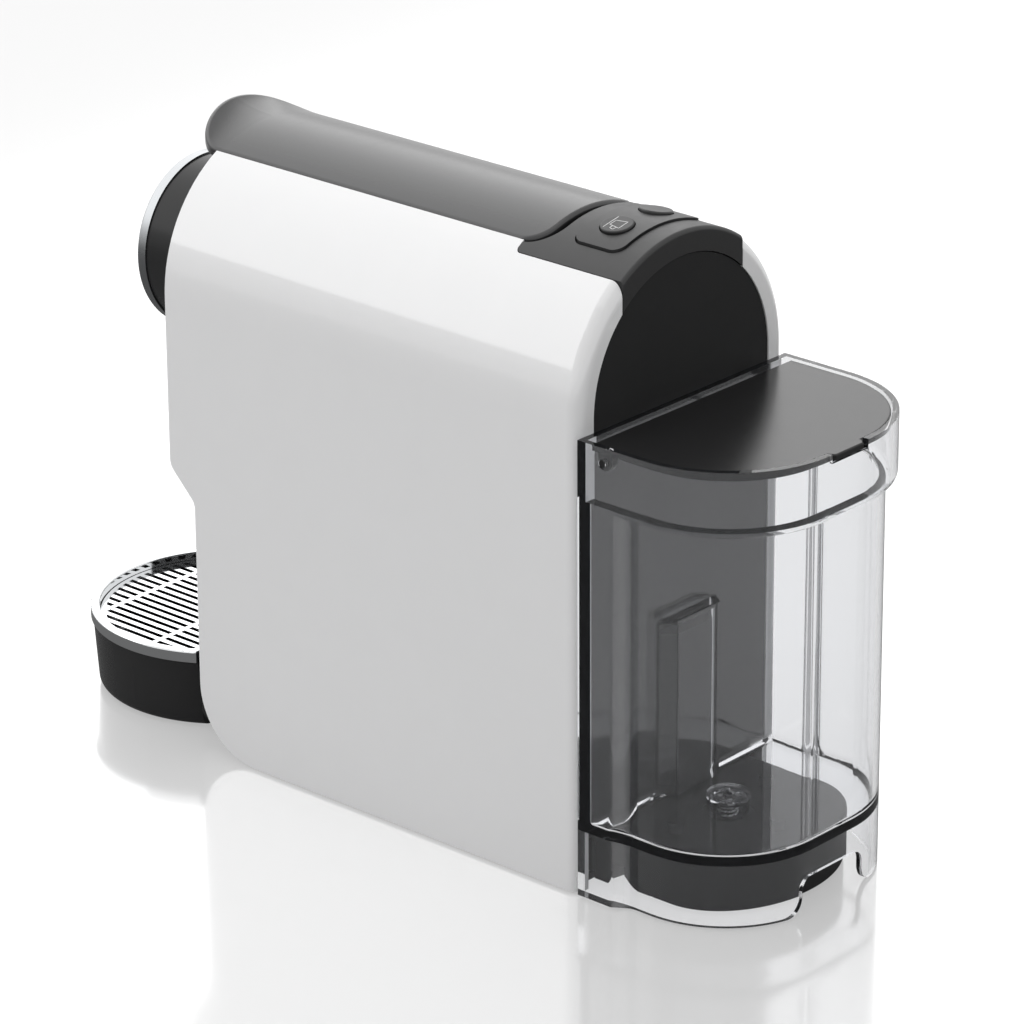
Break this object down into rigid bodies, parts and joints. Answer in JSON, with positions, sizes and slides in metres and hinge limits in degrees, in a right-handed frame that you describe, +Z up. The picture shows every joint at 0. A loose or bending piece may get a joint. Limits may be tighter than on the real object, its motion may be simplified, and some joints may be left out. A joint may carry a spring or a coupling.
{
  "type": "capsule coffee machine",
  "caption": "Slim arched countertop machine that brews coffee from capsules, with a top lever, a rear water tank, push buttons, a capsule drawer and a round drip tray.",
  "frame": {"origin": "on the floor plane, at the middle of the machine's width and of its length", "axes": "+Z up, -Y towards the drip tray at the front, +X across the body"},
  "size_m": [0.1146, 0.3625, 0.2419],
  "materials": {
    "white_shell": "gloss white moulding",
    "black_plastic": "matt black moulding",
    "satin_black": "satin black moulding",
    "rear_black": "flat black moulding",
    "rubber": "black rubber",
    "chrome": "bright chrome plate",
    "clear_tank": "clear moulding",
    "natural_plastic": "natural white moulding",
    "steel": "bright steel",
    "grey_plastic": "dark grey filled moulding",
    "aluminium": "cast aluminium",
    "circuit_board": "green lacquered laminate",
    "silicone": "translucent hose rubber",
    "pump_plastic": "black filled moulding"
  },
  "bodies": {
    "machine": {"outer_shell": "white_shell", "base_plate": "black_plastic", "rubber_feet": "rubber", "rear_panel": "rear_black", "front_frame": "black_plastic", "control_panel": "satin_black", "button_bezel": "satin_black", "button_board": "circuit_board", "nose_drum": "satin_black", "nose_ring": "chrome", "nose_cap": "satin_black", "coffee_spout": "black_plastic", "tank_dock": "rear_black", "dock_seal": "rubber", "hinge_pin": "steel", "brew_chassis": "grey_plastic", "brew_head": "grey_plastic", "extraction_plate": "steel", "brew_deck": "black_plastic", "capsule_chute": "black_plastic", "thermoblock": "aluminium", "inlet_tube": "steel", "pump": "pump_plastic", "pump_mounts": "rubber", "flow_meter": "natural_plastic", "tank_hose": "silicone", "pump_hose": "silicone", "boiler_hose": "silicone", "main_board": "circuit_board", "cord_gland": "rubber", "base_screws": "steel", "chassis_screws": "steel"},
    "lever": {"lever_cover": "satin_black", "lever_frame": "black_plastic"},
    "brew_piston": {"piston": "grey_plastic", "piston_seal": "rubber", "needle_plate": "steel", "drive_pin": "steel"},
    "water_tank": {"tank_body": "clear_tank", "valve_cage": "natural_plastic", "valve_spring": "steel"},
    "lid": {"tank_lid": "satin_black"},
    "plunger": {"valve_plunger": "natural_plastic"},
    "drawer": {"capsule_container": "satin_black", "drip_cup": "satin_black", "tray_ring": "chrome"},
    "grille": {"drip_grille": "chrome"},
    "small_button": {"small_cup_button": "satin_black"},
    "large_button": {"large_cup_button": "satin_black"}
  },
  "joints": [
    {"name": "lever_hinge", "type": "hinge", "parent": "machine", "child": "lever", "pos_m": [0, 0.04395, 0.228], "axis": [-1, 0, 0], "range_deg": [0, 80]},
    {"name": "piston_slide", "type": "slide", "parent": "machine", "child": "brew_piston", "axis": [0, 1, 0], "range_m": [0, 0.032]},
    {"name": "tank_lift", "type": "slide", "parent": "machine", "child": "water_tank", "axis": [0, 0, 1], "range_m": [0, 0.12]},
    {"name": "lid_hinge", "type": "hinge", "parent": "water_tank", "child": "lid", "pos_m": [0, 0.11665, 0.1709], "axis": [1, 0, 0], "range_deg": [0, 92]},
    {"name": "plunger_slide", "type": "slide", "parent": "water_tank", "child": "plunger", "axis": [0, 0, 1], "range_m": [-0.003, 0], "deforming": ["valve_spring"]},
    {"name": "drawer_slide", "type": "slide", "parent": "machine", "child": "drawer", "axis": [0, -1, 0], "range_m": [0, 0.1]},
    {"name": "grille_lift", "type": "slide", "parent": "drawer", "child": "grille", "axis": [0, 0, 1], "range_m": [0, 0.03]},
    {"name": "small_button_press", "type": "slide", "parent": "machine", "child": "small_button", "axis": [-0.1815, 0, -0.9834], "range_m": [0, 0.001], "stiffness_N_per_m": 700},
    {"name": "large_button_press", "type": "slide", "parent": "machine", "child": "large_button", "axis": [0.1815, 0, -0.9834], "range_m": [0, 0.001], "stiffness_N_per_m": 700}
  ],
  "couplings": [
    {"joint": "piston_slide", "follows": "lever_hinge", "m_per_rad": 0.022917},
    {"joint": "plunger_slide", "follows": "tank_lift", "ratio": -0.025}
  ]
}
